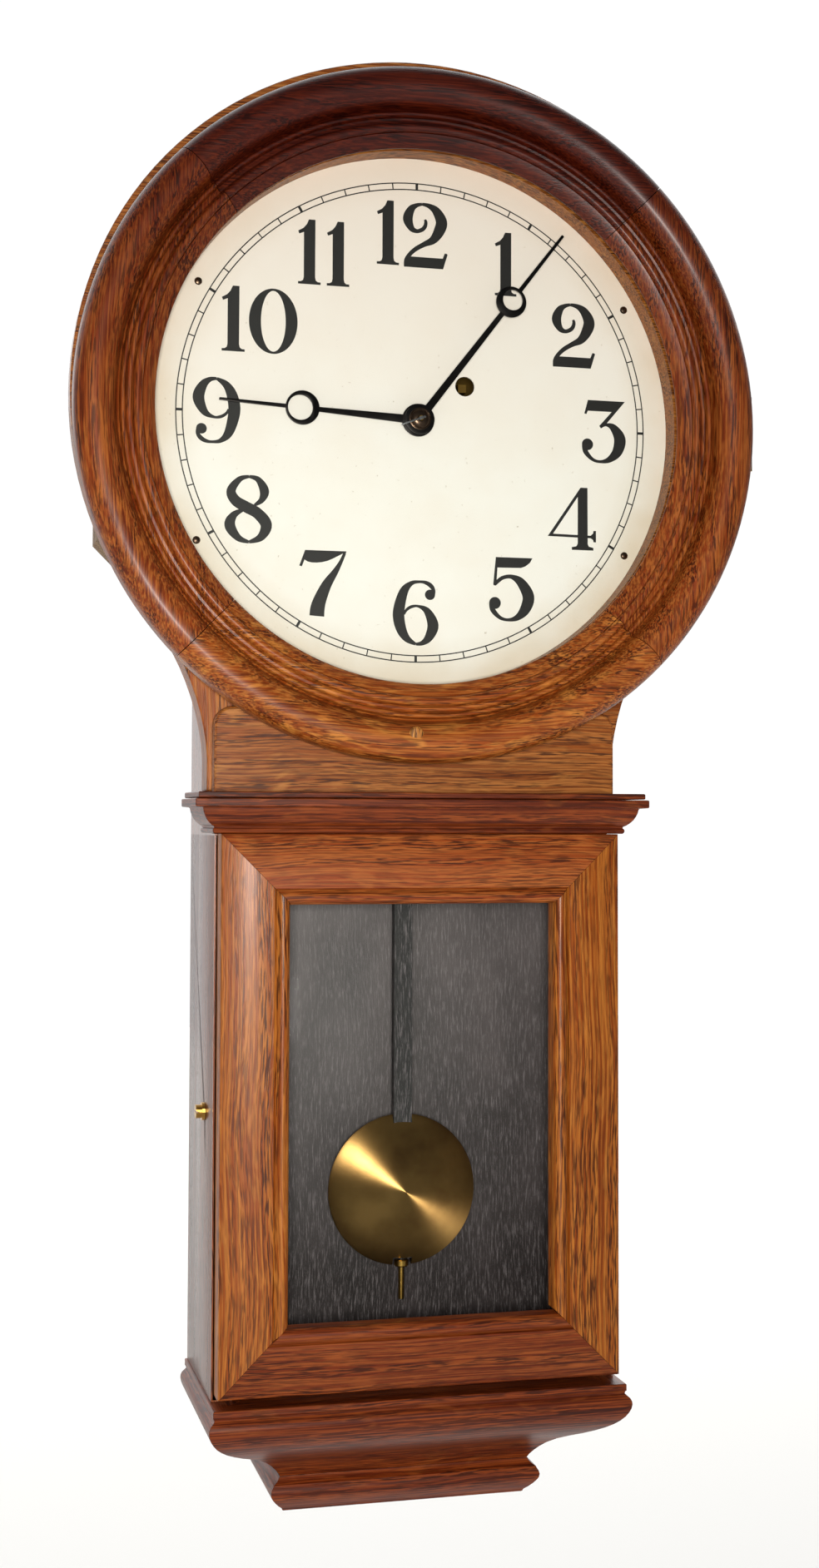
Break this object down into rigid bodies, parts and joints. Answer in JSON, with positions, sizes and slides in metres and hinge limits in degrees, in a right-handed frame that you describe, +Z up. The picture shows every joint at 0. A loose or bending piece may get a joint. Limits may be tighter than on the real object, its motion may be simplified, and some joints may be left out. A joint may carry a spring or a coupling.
{
  "type": "wall clock",
  "caption": "Oak drop-case wall clock: round mitred bezel over a painted dial, glazed door below with a swinging pendulum, weight-driven wheel train and moulded base.",
  "frame": {"origin": "on the wall face, on the axis of the dial", "axes": "X to the viewer's right, Y into the wall, Z up; the dial faces -Y"},
  "size_m": [0.3995, 0.1205, 0.821],
  "materials": {
    "oak": "stained and varnished oak",
    "oak_inside": "unfinished inner wood",
    "black_painted_wood": "matt black paint on wood",
    "glass": "clear sheet",
    "brass": "lacquered",
    "steel": "plain",
    "blued_steel": "blued black",
    "iron": "as cast",
    "dial_paint": "cream enamel paint on sheet metal"
  },
  "bodies": {
    "case": {"backboard": "oak_inside", "head_drum": "oak_inside", "dial_board": "oak_inside", "head_ring": "oak", "ear_left": "oak", "ear_right": "oak", "neck_panel": "oak", "cornice_front": "oak", "cornice_left": "oak", "cornice_right": "oak", "cornice_cap": "oak", "case_side_left": "oak", "case_side_right": "oak", "baffle": "black_painted_wood", "base_moulding": "oak", "base_foot": "oak", "dial": "dial_paint", "dial_screw_1": "steel", "dial_screw_2": "steel", "dial_screw_3": "steel", "dial_screw_4": "steel", "bezel_hinge_fixed_leaf": "brass", "door_hinge_fixed_leaf": "brass", "front_plate": "brass", "back_plate": "brass", "suspension_cock": "brass", "weight_cable": "steel"},
    "bezel": {"bezel_right": "oak", "bezel_top": "oak", "bezel_left": "oak", "bezel_bottom": "oak", "bezel_glass": "glass", "bezel_hinge_leaf": "brass"},
    "door": {"door_rail_top": "oak", "door_stile_right": "oak", "door_rail_bottom": "oak", "door_stile_left": "oak", "door_glass": "glass", "door_hinge_leaf": "brass"},
    "latch": {"latch": "brass"},
    "minute": {"minute_hand": "blued_steel", "hand_collet": "blued_steel", "hand_pin": "steel", "centre_wheel": "brass", "cannon_pinion": "brass"},
    "hour": {"hour_hand": "blued_steel", "hour_wheel": "brass"},
    "minute_wheel": {"minute_wheel": "brass"},
    "great_wheel": {"great_wheel": "brass"},
    "third_wheel": {"third_wheel": "brass"},
    "escape_wheel": {"escape_wheel": "brass"},
    "cable_drum": {"cable_drum": "brass"},
    "click": {"click": "steel"},
    "verge": {"verge": "steel"},
    "pendulum": {"suspension_spring": "steel", "pendulum_rod": "black_painted_wood", "pendulum_bob": "brass"},
    "rating_nut": {"rating_nut": "brass"},
    "weight": {"weight": "iron"},
    "weight_pulley": {"weight_pulley": "brass"}
  },
  "joints": [
    {"name": "bezel_swing", "type": "hinge", "parent": "case", "child": "bezel", "pos_m": [0.2002, -0.10015, 0], "axis": [0, 0, 1], "range_deg": [0, 100]},
    {"name": "door_swing", "type": "hinge", "parent": "case", "child": "door", "pos_m": [0.1182, -0.09315, -0.389], "axis": [0, 0, 1], "range_deg": [0, 110]},
    {"name": "latch_turn", "type": "hinge", "parent": "case", "child": "latch", "pos_m": [-0.116, -0.063, -0.3926], "axis": [1, 0, 0], "range_deg": [0, 90]},
    {"name": "minute_turn", "type": "hinge", "parent": "case", "child": "minute", "pos_m": [0, -0.09, 0], "axis": [0, 1, 0], "continuous": true},
    {"name": "hour_turn", "type": "hinge", "parent": "case", "child": "hour", "pos_m": [0, -0.09, 0], "axis": [0, 1, 0], "continuous": true},
    {"name": "minute_wheel_turn", "type": "hinge", "parent": "case", "child": "minute_wheel", "pos_m": [-0.01299, -0.047, -0.0075], "axis": [0, 1, 0], "continuous": true},
    {"name": "great_wheel_turn", "type": "hinge", "parent": "case", "child": "great_wheel", "pos_m": [0.029, -0.037, 0.022], "axis": [0, 1, 0], "continuous": true},
    {"name": "third_wheel_turn", "type": "hinge", "parent": "case", "child": "third_wheel", "pos_m": [-0.01041, -0.032, 0.02781], "axis": [0, 1, 0], "continuous": true},
    {"name": "escape_wheel_turn", "type": "hinge", "parent": "case", "child": "escape_wheel", "pos_m": [0, -0.025, 0.04922], "axis": [0, 1, 0], "continuous": true},
    {"name": "drum_wind", "type": "hinge", "parent": "great_wheel", "child": "cable_drum", "pos_m": [0.029, -0.03, 0.022], "axis": [0, 1, 0], "range_deg": [0, 5240]},
    {"name": "click_lift", "type": "hinge", "parent": "great_wheel", "child": "click", "pos_m": [0.029, -0.035, 0.0405], "axis": [0, 1, 0], "range_deg": [-15, 0], "stiffness_Nm_per_rad": 0.02, "springref_deg": 5.73},
    {"name": "pendulum_swing", "type": "hinge", "parent": "case", "child": "pendulum", "pos_m": [0, -0.056, 0.0775], "axis": [0, 1, 0], "range_deg": [-3, 3]},
    {"name": "verge_rock", "type": "hinge", "parent": "case", "child": "verge", "pos_m": [0, -0.03, 0.0775], "axis": [0, 1, 0], "range_deg": [-3, 3]},
    {"name": "rating_nut_turn", "type": "hinge", "parent": "pendulum", "child": "rating_nut", "pos_m": [0, -0.056, -0.488], "axis": [0, 0, 1], "continuous": true},
    {"name": "weight_rise", "type": "slide", "parent": "case", "child": "weight", "axis": [0, 0, 1], "range_m": [0, 0.32], "deforming": ["weight_cable"]},
    {"name": "pulley_turn", "type": "hinge", "parent": "weight", "child": "weight_pulley", "pos_m": [0.0366, -0.024, -0.398], "axis": [0, 1, 0], "range_deg": [0, 1256]}
  ],
  "couplings": [
    {"joint": "hour_turn", "follows": "minute_turn", "ratio": 0.083333},
    {"joint": "minute_wheel_turn", "follows": "minute_turn", "ratio": -0.33333},
    {"joint": "great_wheel_turn", "follows": "minute_turn", "ratio": -0.083333},
    {"joint": "third_wheel_turn", "follows": "minute_turn", "ratio": -10},
    {"joint": "escape_wheel_turn", "follows": "minute_turn", "ratio": 83.333},
    {"joint": "verge_rock", "follows": "pendulum_swing", "ratio": 1},
    {"joint": "drum_wind", "follows": "weight_rise", "rad_per_m": 285.71},
    {"joint": "pulley_turn", "follows": "weight_rise", "rad_per_m": 68.493}
  ]
}
